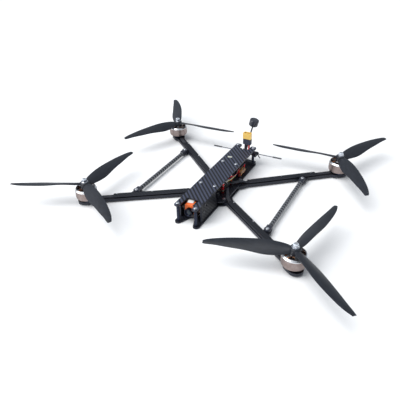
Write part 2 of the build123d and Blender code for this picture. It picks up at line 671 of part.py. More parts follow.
def battery_lead(x, plug_x):
    """One of the two thick leads, from the speed controller to the plug."""
    aside = x + (2.5 if x > 0 else -2.5)
    over_z = 30.0
    tail_z = 25.5
    points = [
        (x, CENTRE_Y + 17.5, ESC_Z + BOARD_T + LEAD_R + 0.2),
        (x, 30.0, 19.0),
        (aside, 38.5, over_z),
        (aside, 76.0, over_z),
        (plug_x, 96.0, tail_z),
        (plug_x, PLUG_Y, tail_z),
        (plug_x, PLUG_Y, LEAD_TOP),
    ]
    path = FilletPolyline(*points, radius=[6.0, 6.0, 12.0, 12.0, 5.5])
    profile = Plane(origin=path @ 0, z_dir=path % 0) * Circle(LEAD_R)
    return sweep(profile, path)


def plug_outline(inset):
    """The plug's outline: two corners cut off, so it goes together one way only."""
    wide = 8 - inset
    deep = 4 - inset
    cut = 2.4
    corners = [(-wide, -deep), (wide, -deep), (wide, deep - cut), (wide - cut, deep)]
    corners += [(cut - wide, deep), (-wide, deep - cut)]
    return Pos(PLUG_X, PLUG_Y, 0) * make_face(Polyline(*corners, close=True))


def power_plug():
    """The battery plug: a shell around one deep socket."""
    shell = slab(plug_outline(0), PLUG_LOW, PLUG_TOP - PLUG_LOW)
    return shell - slab(plug_outline(1.2), PLUG_FLOOR, PLUG_TOP)


def plug_pins():
    """The two contact pins that stand in the socket."""
    pins = []
    for side in (-1, 1):
        pin = post(PLUG_X + side * PIN_X, PLUG_Y - 0.2, PLUG_FLOOR, PLUG_TOP - 1.0, 1.75)
        pins.append(fillet(pin.edges().filter_by(GeomType.CIRCLE).sort_by(Axis.Z)[-1], 0.7))
    return pins


def plug_cap():
    """The black cover over the solder joints under the plug."""
    face = rounded([(-7.8, -3.9), (7.8, -3.9), (7.8, 3.9), (-7.8, 3.9)], 1.2)
    return Pos(PLUG_X, PLUG_Y, 0) * slab(face, LEAD_TOP + 0.05, PLUG_LOW - LEAD_TOP - 0.05)


# ---- antennas --------------------------------------------------------------------------------------
def on_mast(solid):
    return Pos(*MAST_FOOT) * Rot(0, MAST_LEAN, 0) * solid


def antenna_mount():
    """The flexible tail pieces: a low bar with the mast's block, and a cradle behind each rear standoff."""
    bar = box(-20.5, 20.5, 102.5, 111.0, PLATE, 7.0)
    for side in (-1, 1):
        bar -= post(side * POST_X, TAIL_POST_Y, 0, 10, 2.55)
    foot_x = MAST_FOOT[0]
    bar += box(foot_x - 4.5, foot_x + 4.5, 110.0, 123.5, PLATE, 21.5)
    bar -= on_mast(post(0, 0, 0, 40, 2.75)) + dipole_axis(90, 0.85)
    ear = box(EAR_IN, EAR_OUT, TAIL_POST_Y + 0.8, EAR_BACK, 17.0, 24.5)
    ear -= post(POST_X, TAIL_POST_Y, 5, 30, 2.55)
    return [bar] + [part - dipole_axis(90, 0.85) for part in both(ear)]


def dipole_axis(half, radius):
    return Pos(DIPOLE_X, DIPOLE_Y, DIPOLE_Z) * Rot(0, 90 - DIPOLE_TILT, 0) * Cylinder(radius, 2 * half)


def dipole_wire():
    return dipole_axis(70, 0.75)


def dipole_sleeves():
    pieces = []
    for side in (-1, 1):
        sleeve = Cylinder(1.35, 17) - Cylinder(0.8, 18)
        turn = Pos(DIPOLE_X, DIPOLE_Y, DIPOLE_Z) * Rot(0, 90 - DIPOLE_TILT, 0)
        pieces.append(turn * Pos(0, 0, side * 62.5) * sleeve)
    return pieces


def antenna_stem():
    stem = post(0, 0, 0, MAST, 1.4) + post(0, 0, 0.2, 20, 2.65)
    return on_mast(stem)


def video_antenna():
    """The barrel-shaped head of the video antenna."""
    profile = [(1.45, MAST - 7.0), (5.8, MAST - 7.0), (8.2, MAST - 5.2), (8.7, MAST - 4.2), (8.7, MAST + 4.6)]
    profile += [(8.3, MAST + 5.8), (7.0, MAST + 6.5), (0.0, MAST + 6.8)]
    profile += [(0.0, MAST + 0.05), (1.45, MAST + 0.05)]
    return on_mast(lathe(profile))


def zip_ties():
    """Ties around each cradle and its standoff, above the dipole, each with its square head."""
    thick = 0.9
    low, high = 22.0, 24.0
    x0, x1 = EAR_IN - 0.3, EAR_OUT + 0.05
    y0, y1 = TAIL_POST_Y - 2.8, EAR_BACK + 0.05
    loop = box(x0 - thick, x1 + thick, y0 - thick, y1 + thick, low, high) - box(x0, x1, y0, y1, 0, 40)
    head = box(x1 + 0.5, x1 + 3.6, 111.5, 115.0, low - 0.7, high + 0.7)
    return both(loop + head)


# ---- fasteners -------------------------------------------------------------------------------------
def button_screws():
    """All the M3 button heads that are driven from above: top plate, electronics stack and braces."""
    pieces = []
    for x, y in long_places() + short_places():
        pieces.append(screw(x, y, TOP_Z + PLATE, 9.0))
    for x, y in stack_places():
        pieces.append(screw(x, y, STACK_TOP, STACK_TOP - MID_Z))
    for lug_y in (LUG_FRONT_Y, LUG_REAR_Y):
        pieces += both(screw(BRACE_X, lug_y, 11.0, 11.0 - ARM_Z))
    return pieces


def bottom_screws():
    """Flat-head screws up into the long standoffs, and up through the arm roots into their nuts."""
    pieces = [countersunk(x, y, 0.05, 9.0) for x, y in long_places()]
    return pieces + [countersunk(x, y, 0.05, BAY_Z + 2.6) for x, y in arm_places()]


def arm_nuts():
    """Nuts on the mid plate over the arm screws."""
    nuts = []
    for x, y in arm_places():
        nut = Pos(x, y, BAY_Z) * extrude(RegularPolygon(3.1, 6), 2.4)
        nuts.append(nut - post(x, y, BAY_Z - 1, BAY_Z + 4, 1.55))
    return nuts


def motor_screws():
    pieces = []
    for side, motor, angle, hand in ROTORS.values():
        root = ROOT_FRONT if motor is MOTOR_FRONT else ROOT_REAR
        ux, uy, length = arm_axis(root, motor)
        turn = math.degrees(math.atan2(uy, ux)) + 45
        for k in range(4):
            a = math.radians(turn + 90 * k)
            x = side * (motor[0] + MOTOR_HOLE_R * math.cos(a))
            y = motor[1] + MOTOR_HOLE_R * math.sin(a)
            pieces.append(screw(x, y, ARM_Z, ARM_T, up=False, head_r=2.7, head_h=1.6, shank_r=1.45))
    return pieces


def cover_screws():
    pieces = []
    top = MID_Z + WIRE_GAP + COVER_T
    for root, motor in ((ROOT_FRONT, MOTOR_FRONT), (ROOT_REAR, MOTOR_REAR)):
        for s in cover_screw_stations(root, motor):
            x, y = on_arm(root, motor, s, COVER_SIDE)
            pieces += both(screw(x, y, top, 6.0, head_r=1.25, head_h=0.9, shank_r=0.7, socket=0.5))
    return pieces


# ---- the whole drone -------------------------------------------------------------------------------
def motor_parts(maker):
    """The same motor piece on all four arms."""
    pieces = []
    for side, motor, angle, hand in ROTORS.values():
        made = maker(side * motor[0], motor[1])
        pieces += made if isinstance(made, list) else [made]
    return pieces


def nodes():
    parts = {
        "bottom_plate": [bottom_plate()],
        "mid_plate": [mid_plate()],
        "top_plate": [top_plate()],
        "arm_covers": both(arm_cover(ROOT_FRONT, MOTOR_FRONT)) + both(arm_cover(ROOT_REAR, MOTOR_REAR)),
        "camera_plates": both(camera_plate()),
        "brace_tubes": both(brace_tube()),
        "brace_ends": both(brace_end(LUG_FRONT_Y, 1)) + both(brace_end(LUG_REAR_Y, -1)),
        "motor_bases": motor_parts(motor_base),
        "motor_bearings": motor_parts(motor_bearings),
        "motor_stators": motor_parts(motor_stator),
        "motor_windings": motor_parts(motor_winding),
        "camera_bracket": [camera_bracket()],
        "camera_body": [camera_body()],
        "camera_lens": [camera_lens()],
        "camera_screws": camera_screws(),
        "speed_controller": [speed_controller()],
        "flight_controller": [flight_controller()],
        "stack_posts": stack_posts(),
        "video_transmitter": [video_transmitter()],
        "receiver": [receiver()],
        "capacitor": [capacitor()],
        "lead_red": [battery_lead(4.5, PLUG_X + PIN_X)],
        "lead_black": [battery_lead(-4.5, PLUG_X - PIN_X)],
        "power_plug": [power_plug()],
        "plug_pins": plug_pins(),
        "plug_cap": [plug_cap()],
        "antenna_mount": antenna_mount(),
        "antenna_stem": [antenna_stem()],
        "video_antenna": [video_antenna()],
        "dipole_wire": [dipole_wire()],
        "dipole_sleeves": dipole_sleeves(),
        "zip_ties": zip_ties(),
        "button_screws": button_screws(),
        "bottom_screws": bottom_screws(),
        "arm_nuts": arm_nuts(),
        "motor_screws": motor_screws(),
        "cover_screws": cover_screws(),
    }
    for name, root, motor, lug_y, split in (("front", ROOT_FRONT, MOTOR_FRONT, LUG_FRONT_Y, -1),
                                            ("rear", ROOT_REAR, MOTOR_REAR, LUG_REAR_Y, 1)):
        left, right = both(arm_plate(root, motor, lug_y, split))
        parts[f"arm_{name}_left"] = [left]
        parts[f"arm_{name}_right"] = [right]
    parts["standoffs_long"] = [standoff(x, y, PLATE, TOP_Z) for x, y in long_places()]
    parts["standoffs_short"] = [standoff(x, y, BAY_Z, TOP_Z) for x, y in short_places()]
    wires = phase_wires(ROOT_FRONT, MOTOR_FRONT, CENTRE_Y - PADS_OUT)
    wires += phase_wires(ROOT_REAR, MOTOR_REAR, CENTRE_Y + PADS_OUT)
    parts["motor_wires"] = [copy for wire in wires for copy in both(wire)]
    for name, (side, motor, angle, hand) in ROTORS.items():
        x, y = side * motor[0], motor[1]
        parts[f"bell_{name}"] = [motor_bell(x, y)]
        parts[f"magnet_ring_{name}"] = [motor_ring(x, y)]
        parts[f"propeller_{name}"] = [propeller(x, y, angle, hand)]
        parts[f"prop_nut_{name}"] = [prop_nut(x, y)]
    return parts


def solids_of(shapes):
    found = []
    for shape in shapes:
        found += shape.solids()
    return found


os.makedirs("parts", exist_ok=True)
for node_name, shapes in nodes().items():
    solids = solids_of(shapes)
    whole = solids[0] if len(solids) == 1 else Compound(children=solids)
    export_step(whole, f"parts/{node_name}.step")
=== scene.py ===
import bpy
import bmesh
import math
from mathutils import Matrix, Vector


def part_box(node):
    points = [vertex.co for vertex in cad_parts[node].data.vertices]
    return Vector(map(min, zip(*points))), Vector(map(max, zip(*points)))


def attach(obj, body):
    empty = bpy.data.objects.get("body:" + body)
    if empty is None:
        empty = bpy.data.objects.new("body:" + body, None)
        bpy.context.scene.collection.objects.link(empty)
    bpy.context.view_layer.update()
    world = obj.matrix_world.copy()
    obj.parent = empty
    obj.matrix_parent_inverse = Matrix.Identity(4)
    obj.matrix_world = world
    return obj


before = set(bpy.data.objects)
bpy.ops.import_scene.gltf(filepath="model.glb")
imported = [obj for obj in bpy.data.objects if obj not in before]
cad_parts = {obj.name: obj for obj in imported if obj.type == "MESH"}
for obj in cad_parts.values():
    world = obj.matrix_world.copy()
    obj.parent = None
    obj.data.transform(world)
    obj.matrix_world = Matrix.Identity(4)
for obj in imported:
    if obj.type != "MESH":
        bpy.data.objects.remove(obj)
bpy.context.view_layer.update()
MM = 0.001

# ---- levels and sizes in the row frame, in millimetres ---------------------------------------------
POWER_TOP = 16.6                        # upper face of the speed controller
DECK_TOP = 22.6                         # upper face of the video transmitter and the receiver
FLIGHT_TOP = 25.0                       # upper face of the flight controller
LENS_Z = 19.6                           # axis of the camera's lens at rest
WIRE_RADIUS = 0.42                      # signal wires between the boards
PATCH_TURN = 14                         # degrees that the two pale patches are turned by

# ---- camera ----------------------------------------------------------------------------------------
CAMERA_PLACE = Vector((0.3052, -0.6064, 0.4350))
CAMERA_YAW = -29.82                     # degrees, from +Y; negative looks toward -X
CAMERA_DOWN = 33.99                     # degrees below level
CAMERA_ROLL = -1.53
SENSOR = 36.0                           # mm, the sensor's width
LENS = 40.6                             # mm, for that sensor


def make_camera():
    """The camera, seen from the front left and above."""
    yaw, down, roll = (math.radians(a) for a in (CAMERA_YAW, CAMERA_DOWN, CAMERA_ROLL))
    forward = Vector((math.sin(yaw) * math.cos(down), math.cos(yaw) * math.cos(down), -math.sin(down)))
    level = Vector((math.cos(yaw), -math.sin(yaw), 0))
    upward = level.cross(forward)
    right = math.cos(roll) * level + math.sin(roll) * upward
    top = -math.sin(roll) * level + math.cos(roll) * upward
    turn = Matrix((right, top, -forward)).transposed().to_4x4()
    data = bpy.data.cameras.new("camera")
    data.sensor_width = SENSOR
    data.lens = LENS
    data.clip_start = 0.01
    camera = bpy.data.objects.new("camera", data)
    camera.matrix_world = Matrix.Translation(CAMERA_PLACE) @ turn
    bpy.context.scene.collection.objects.link(camera)
    bpy.context.scene.camera = camera


# ---- material nodes --------------------------------------------------------------------------------
class Paint:
    """One node-based material, with short ways to add nodes to it."""

    def __init__(self, name, rough, metallic=0.0, **sockets):
        self.axes = None
        self.material = bpy.data.materials.new(name)
        self.material.use_nodes = True
        self.tree = self.material.node_tree
        self.shader = self.tree.nodes["Principled BSDF"]
        self.shader.inputs["Roughness"].default_value = rough
        self.shader.inputs["Metallic"].default_value = metallic
        for key, value in sockets.items():
            self.shader.inputs[key.replace("_", " ")].default_value = value

    def put(self, socket, value):
        """Links another node's output to a socket, or sets the socket's own value."""
        if hasattr(value, "is_output"):
            self.tree.links.new(value, socket)
        else:
            socket.default_value = value

    def place(self):
        """X, Y and Z in the row frame, in millimetres."""
        if self.axes is None:
            coords = self.tree.nodes.new("ShaderNodeTexCoord")
            split = self.tree.nodes.new("ShaderNodeSeparateXYZ")
            scale = self.tree.nodes.new("ShaderNodeVectorMath")
            scale.operation = "SCALE"
            self.put(scale.inputs[0], coords.outputs["Object"])
            scale.inputs["Scale"].default_value = 1 / MM
            self.put(split.inputs[0], scale.outputs[0])
            self.axes = [split.outputs[k] for k in range(3)]
            self.normal = coords.outputs["Normal"]
            self.vector = scale.outputs[0]
        return self.axes

    def math(self, operation, a, b=0.0, c=0.0):
        node = self.tree.nodes.new("ShaderNodeMath")
        node.operation = operation
        for socket, value in zip(node.inputs, (a, b, c)):
            self.put(socket, value)
        return node.outputs[0]

    def weigh(self, first, share, second, other_share):
        """The weighted sum of two values."""
        return self.math("ADD", self.math("MULTIPLY", first, share), self.math("MULTIPLY", second, other_share))

    def wave(self, value, pitch):
        """A sine wave, -1 to 1, that repeats every pitch millimetres."""
        return self.math("SINE", self.math("MULTIPLY", value, 2 * math.pi / pitch))

    def from_axis(self, centre):
        """X and Y from an upright axis, and the distance from it."""
        x, y, _ = self.place()
        dx = self.math("SUBTRACT", x, centre[0])
        dy = self.math("SUBTRACT", y, centre[1])
        square = self.math("ADD", self.math("MULTIPLY", dx, dx), self.math("MULTIPLY", dy, dy))
        return dx, dy, self.math("SQRT", square)

    def ramp(self, value, low, high, to_low=0.0, to_high=1.0):
        node = self.tree.nodes.new("ShaderNodeMapRange")
        for key, item in (("Value", value), ("From Min", low), ("From Max", high)):
            self.put(node.inputs[key], item)
        node.inputs["To Min"].default_value = to_low
        node.inputs["To Max"].default_value = to_high
        return node.outputs[0]

    def mix(self, factor, first, second):
        node = self.tree.nodes.new("ShaderNodeMix")
        node.data_type = "RGBA"
        sockets = [s for s in node.inputs if s.type == "RGBA"]
        self.put(node.inputs["Factor"], factor)
        for socket, value in zip(sockets, (first, second)):
            self.put(socket, value if hasattr(value, "is_output") else (*value, 1.0))
        return [s for s in node.outputs if s.type == "RGBA"][0]

    def noise(self, scale, detail=3.0, stretch=(1, 1, 1), rough=0.5):
        """Noise whose scale counts features per millimetre."""
        self.place()
        shape = self.tree.nodes.new("ShaderNodeVectorMath")
        shape.operation = "MULTIPLY"
        self.put(shape.inputs[0], self.vector)
        shape.inputs[1].default_value = stretch
        node = self.tree.nodes.new("ShaderNodeTexNoise")
        self.put(node.inputs["Vector"], shape.outputs[0])
        node.inputs["Scale"].default_value = scale
        node.inputs["Detail"].default_value = detail
        node.inputs["Roughness"].default_value = rough
        return node.outputs["Fac"]

    def facing(self, axis):
        """How squarely the surface faces along an axis, 0 to 1, in the object's own frame."""
        self.place()
        split = self.tree.nodes.new("ShaderNodeSeparateXYZ")
        self.put(split.inputs[0], self.normal)
        return self.math("ABSOLUTE", split.outputs[axis])

    def finish(self, colour=None, rough=None, height=None, depth=0.1, strength=0.6):
        """Links colour, roughness and a bump whose height is in millimetres times depth."""
        if colour is not None:
            self.put(self.shader.inputs["Base Color"], colour)
        if rough is not None:
            self.put(self.shader.inputs["Roughness"], rough)
        if height is not None:
            bump = self.tree.nodes.new("ShaderNodeBump")
            bump.inputs["Strength"].default_value = strength
            bump.inputs["Distance"].default_value = depth * MM
            self.put(bump.inputs["Height"], height)
            self.put(self.shader.inputs["Normal"], bump.outputs[0])
        return self.material


def grey(value, tint=(1.0, 1.0, 1.0)):
    return tuple(value * t for t in tint)


INK = (0.8, 0.93, 1.5)                  # the cool tint of the carbon
SLATE = (0.78, 0.98, 1.5)                # and of the propellers


# ---- carbon ----------------------------------------------------------------------------------------
LAYER_PITCH = 0.31                      # mm, two layers of the laminate
BRAID_TOW = 2.4                         # mm, a tow's width on the brace tubes


def twill(p, u, v, tow):
    """A two-by-two twill: 1 where the tow along v lies on top, and the crown of the top tow."""
    column = p.math("FLOOR", p.math("DIVIDE", u, tow))
    line = p.math("FLOOR", p.math("DIVIDE", v, tow))
    step = p.math("FLOORED_MODULO", p.math("ADD", column, line), 4.0)
    over = p.math("LESS_THAN", step, 2.0)
    crowns = []
    for along in (u, v):
        part = p.math("FRACT", p.math("DIVIDE", along, tow))
        crowns.append(p.math("SINE", p.math("MULTIPLY", part, math.pi)))
    crown = p.math("ADD", p.math("MULTIPLY", crowns[0], over),
                   p.math("MULTIPLY", crowns[1], p.math("SUBTRACT", 1.0, over)))
    return over, crown


def carbon(name, plane="XY", turn=0.0, tow=1.56, light=0.075, dark=0.016, rough=0.42, lacquer=0.12):
    """Woven carbon plate: twill on its faces, the laminate's layers on its cut edges."""
    p = Paint(name, rough, Coat_Weight=lacquer, Coat_Roughness=0.3, Specular_IOR_Level=0.3)
    x, y, z = p.place()
    u, v, flat_axis = {"XY": (x, y, 2), "YZ": (y, z, 0)}[plane]
    if turn:
        cos, sin = math.cos(math.radians(turn)), math.sin(math.radians(turn))
        u, v = p.weigh(u, cos, v, sin), p.weigh(v, cos, u, -sin)
    over, crown = twill(p, u, v, tow)
    fibre = p.noise(3.0, 2.0, rough=0.6)
    cloudy = p.noise(0.03, 2.0)
    # Each tow darkens towards its edges where it meets the next: painted shade between the tows, with random
    # tone from the fibre and cloudy noise.
    shade = p.math("ADD", p.weigh(crown, 0.35, fibre, 0.5), p.math("MULTIPLY", cloudy, 0.35))
    woven = p.mix(over, grey(dark, INK), grey(light, INK))
    woven = p.mix(p.ramp(shade, 0.1, 1.0, 0.55, 1.0), (0, 0, 0), woven)
    layer = p.wave(z if plane == "XY" else x, LAYER_PITCH)
    worn = p.noise(0.5, 3.0)
    edge_tone = p.math("MULTIPLY", p.ramp(layer, -1.0, 1.0, 0.4, 1.0), p.ramp(worn, 0.3, 0.7, 0.5, 1.0))
    edge = p.mix(edge_tone, grey(0.006, INK), grey(0.034, INK))
    on_face = p.math("GREATER_THAN", p.facing(flat_axis), 0.6)
    gloss = p.math("ADD", p.ramp(over, 0, 1, rough + 0.08, rough - 0.04), p.math("MULTIPLY", fibre, 0.08))
    height = p.math("ADD", p.math("MULTIPLY", crown, on_face), p.math("MULTIPLY", layer, 0.15))
    return p.finish(p.mix(on_face, edge, woven), gloss, height, 0.12, 0.55)


def braided_tube(name, centre_x, centre_z, radius):
    """A carbon tube with a braid that winds round it, along Y; its top tows carry a painted highlight."""
    p = Paint(name, 0.36, Coat_Weight=0.3, Coat_Roughness=0.2)
    x, y, z = p.place()
    side = p.math("SUBTRACT", p.math("ABSOLUTE", x), centre_x)
    angle = p.math("ARCTAN2", p.math("SUBTRACT", z, centre_z), side)
    around = p.math("MULTIPLY", angle, radius)
    slant = math.sqrt(0.5)
    u = p.weigh(around, slant, y, slant)
    v = p.weigh(y, slant, around, -slant)
    over, crown = twill(p, u, v, BRAID_TOW)
    fibre = p.noise(2.5, 2.0)
    # The top tows' pale grey, lightest on their crowns, is a painted highlight; the bottom tows stay near
    # black.
    tone = p.math("MULTIPLY", p.ramp(crown, 0, 1, 0.5, 1.0), p.ramp(fibre, 0.2, 0.8, 0.6, 1.0))
    bright = p.mix(tone, grey(0.03, INK), grey(0.2, (0.95, 1.0, 1.08)))
    colour = p.mix(over, grey(0.004, INK), bright)
    return p.finish(colour, p.ramp(over, 0, 1, 0.45, 0.3), crown, 0.15, 0.7)


# ---- plain stuffs ----------------------------------------------------------------------------------
def moulded(name, colour, rough=0.45, grain=1.2, depth=0.03, vary=0.25, **sockets):
    """Moulded or printed plastic: fine grain, a slow drift of tone, rubbed lighter patches."""
    p = Paint(name, rough, **sockets)
    fine = p.noise(grain * 3, 3.0)
    drift = p.noise(0.05, 3.0)
    dusty = tuple(min(1.0, c * (1 + vary) + 0.004) for c in colour)
    dull = tuple(c * (1 - vary) for c in colour)
    tone = p.weigh(fine, 0.4, drift, 0.6)
    shade = p.mix(p.ramp(tone, 0.3, 0.7), dull, dusty)
    return p.finish(shade, p.ramp(fine, 0.3, 0.7, rough - 0.05, rough + 0.07), fine, depth, 0.6)


def printed(name, colour, dull, axis=2):
    """Printed flexible plastic with its layer lines."""
    p = Paint(name, 0.5, Subsurface_Weight=0.05)
    layer = p.wave(p.place()[axis], 0.4)
    fine = p.noise(2.0, 3.0)
    drift = p.noise(0.12, 2.0)
    tone = p.math("ADD", p.ramp(layer, -1, 1, 0.0, 0.3), p.math("MULTIPLY", drift, 0.9))
    shade = p.mix(p.ramp(tone, 0.3, 0.85), dull, colour)
    height = p.math("ADD", layer, p.math("MULTIPLY", fine, 0.6))
    return p.finish(shade, p.ramp(fine, 0.3, 0.7, 0.42, 0.6), height, 0.06, 0.6)


def turned_metal(name, colour, centre, rough=0.25, spread=0.12, pitch=0.22, stained=None):
    """Metal turned on a lathe: rings round a vertical axis on its faces, fine streaks down its side."""
    p = Paint(name, rough, 1.0)
    _, _, radius = p.from_axis(centre)
    flat = p.facing(2)
    ring = p.wave(radius, pitch)
    band = p.wave(p.place()[2], pitch * 1.7)
    upright = p.math("SUBTRACT", 1.0, flat)
    grooves = p.math("ADD", p.math("MULTIPLY", ring, flat), p.math("MULTIPLY", band, upright))
    fine = p.noise(2.2, 3.0, (1, 1, 0.25))
    drift = p.noise(0.18, 3.0)
    worn = stained or tuple(c * 0.72 for c in colour)
    tone = p.weigh(fine, 0.55, drift, 0.45)
    shade = p.mix(p.ramp(tone, 0.35, 0.62), worn, colour)
    height = p.math("ADD", p.math("MULTIPLY", grooves, 0.35), fine)
    return p.finish(shade, p.ramp(tone, 0.3, 0.7, rough + spread, rough), height, 0.03, 0.5)


def small_metal(name, colour, rough=0.22):
    """Screws and nuts: bright metal, scuffed where tools have held it."""
    p = Paint(name, rough, 1.0)
    scuff = p.noise(1.4, 4.0, (1, 1, 0.4), 0.7)
    fine = p.noise(6.0, 2.0)
    shade = p.mix(p.ramp(scuff, 0.35, 0.65), tuple(c * 0.6 for c in colour), colour)
    return p.finish(shade, p.ramp(scuff, 0.3, 0.7, rough + 0.16, rough), p.math("ADD", scuff, fine), 0.03, 0.5)


def nut_metal(name, collar_z):
    """A bright flanged nut with the pale plastic collar on top."""
    p = Paint(name, 0.2)
    z = p.place()[2]
    collar = p.math("GREATER_THAN", z, collar_z)
    scuff = p.noise(1.2, 4.0, (1, 1, 0.4), 0.7)
    steel = p.mix(p.ramp(scuff, 0.35, 0.65), (0.36, 0.38, 0.42), (0.82, 0.84, 0.88))
    colour = p.mix(collar, steel, (0.62, 0.67, 0.74))
    p.put(p.shader.inputs["Metallic"], p.math("SUBTRACT", 1.0, collar))
    return p.finish(colour, p.ramp(scuff, 0.3, 0.7, 0.32, 0.16), scuff, 0.04, 0.5)


def propeller_plastic(name, centre):
    """Glass-filled nylon: a soft sheen, faint flow lines along the blades and a fine mottle."""
    p = Paint(name, 0.4, Specular_IOR_Level=0.45)
    dx, dy, radius = p.from_axis(centre)
    angle = p.math("ARCTAN2", dy, dx)
    flow = p.tree.nodes.new("ShaderNodeCombineXYZ")
    p.put(flow.inputs[0], p.math("MULTIPLY", radius, 0.05))
    p.put(flow.inputs[1], p.math("MULTIPLY", angle, 9.0))
    streak = p.tree.nodes.new("ShaderNodeTexNoise")
    p.put(streak.inputs["Vector"], flow.outputs[0])
    streak.inputs["Scale"].default_value = 2.0
    streak.inputs["Detail"].default_value = 4.0
    fibre = p.noise(1.6, 4.0, rough=0.65)
    tone = p.weigh(streak.outputs["Fac"], 0.55, fibre, 0.45)
    shade = p.mix(p.ramp(tone, 0.35, 0.65), grey(0.007, SLATE), grey(0.018, SLATE))
    return p.finish(shade, p.ramp(tone, 0.3, 0.7, 0.38, 0.52), tone, 0.06, 0.5)


def two_part_case(name, joint_y):
    """The camera's orange front and its black rear cover, which meet at joint_y."""
    p = Paint(name, 0.42, Subsurface_Weight=0.04)
    y = p.place()[1]
    fine = p.noise(3.5, 3.0)
    drift = p.noise(0.12, 2.0)
    tone = p.weigh(fine, 0.4, drift, 0.6)
    front = p.mix(p.ramp(tone, 0.3, 0.7), (0.74, 0.11, 0.02), (1.0, 0.22, 0.05))
    rear = p.mix(p.ramp(tone, 0.3, 0.7), grey(0.01, INK), grey(0.02, INK))
    shade = p.mix(p.math("GREATER_THAN", y, joint_y), front, rear)
    return p.finish(shade, p.ramp(fine, 0.3, 0.7, 0.36, 0.5), fine, 0.03, 0.5)


def copper(name):
    """Enamelled copper windings: round turns side by side."""
    p = Paint(name, 0.28, 1.0)
    z = p.place()[2]
    turn = p.math("ABSOLUTE", p.math("SINE", p.math("MULTIPLY", z, math.pi / 0.75)))
    # Each turn is painted bright on its crown and dark where it meets the next: painted highlight, and painted
    # shade in the grooves.
    shade = p.mix(p.ramp(turn, 0, 1), (0.28, 0.07, 0.025), (0.95, 0.42, 0.18))
    return p.finish(shade, p.ramp(turn, 0, 1, 0.45, 0.25), turn, 0.3, 0.8)


def stacked_steel(name):
    """Stator laminations with their dark coating."""
    p = Paint(name, 0.35, 0.8)
    leaf = p.wave(p.place()[2], 0.4)
    fine = p.noise(2.0, 3.0)
    shade = p.mix(p.ramp(leaf, -1, 1), (0.05, 0.05, 0.055), (0.3, 0.3, 0.32))
    return p.finish(shade, p.ramp(fine, 0.3, 0.7, 0.3, 0.5), leaf, 0.08, 0.6)


def circuit(name, mask, seed):
    """Solder mask with traces under it and gilded pads."""
    p = Paint(name, 0.35, Coat_Weight=0.4, Coat_Roughness=0.2)
    x, y, _ = p.place()
    cell = p.tree.nodes.new("ShaderNodeTexVoronoi")
    cell.distance = "CHEBYCHEV"
    shifted = p.tree.nodes.new("ShaderNodeVectorMath")
    p.put(shifted.inputs[0], p.vector)
    shifted.inputs[1].default_value = (seed, seed * 0.7, 0)
    p.put(cell.inputs["Vector"], shifted.outputs[0])
    cell.inputs["Scale"].default_value = 0.55
    cell.inputs["Randomness"].default_value = 0.6
    pad = p.math("LESS_THAN", cell.outputs["Distance"], 0.32)
    trace = p.math("GREATER_THAN", p.math("SINE", p.math("MULTIPLY", p.math("ADD", x, y), 3.1)), 0.5)
    fine = p.noise(1.5, 3.0)
    base = p.mix(p.math("MULTIPLY", trace, 0.6), mask, tuple(c * 2.2 + 0.01 for c in mask))
    colour = p.mix(p.math("MULTIPLY", pad, p.ramp(fine, 0.4, 0.6)), base, (0.7, 0.6, 0.4))
    return p.finish(colour, p.ramp(pad, 0, 1, 0.4, 0.22), p.math("ADD", pad, trace), 0.05, 0.5)


def sleeve(name, colour, dull):
    """Heat-shrunk film: glossy, creased along the can."""
    p = Paint(name, 0.18, Coat_Weight=0.6, Coat_Roughness=0.1)
    crease = p.noise(0.6, 4.0, (1, 0.25, 1), 0.6)
    # Darker and lighter streaks along the crease noise: painted shade and sheen on the creases, with random
    # tone.
    shade = p.mix(p.ramp(crease, 0.3, 0.7), dull, colour)
    return p.finish(shade, p.ramp(crease, 0.3, 0.7, 0.14, 0.3), crease, 0.2, 0.6)


def silicone(name, colour):
    """Soft wire jacket, a little dusty."""
    return moulded(name, colour, 0.5, 0.8, 0.04, 0.35, Sheen_Weight=0.15, Sheen_Roughness=0.5)


# ---- assigning -------------------------------------------------------------------------------------
def cover(node, material):
    """Gives a CAD node one material."""
    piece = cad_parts[node]
    piece.data.materials.clear()
    piece.data.materials.append(material)
    for face in piece.data.polygons:
        face.material_index = 0


def middle(node):
    """The middle of a node's box, in millimetres."""
    low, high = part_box(node)
    return (low + high) / 2 / MM


# how far the weave of each arm is turned, in degrees
ARM_TURN = {"front_left": -34.7, "front_right": 34.7, "rear_left": 39.5, "rear_right": -39.5}
CASE_REAR = 5.2                         # mm, the length of the camera's rear cover
COLLAR = 1.4                            # mm, the plastic collar in a propeller nut


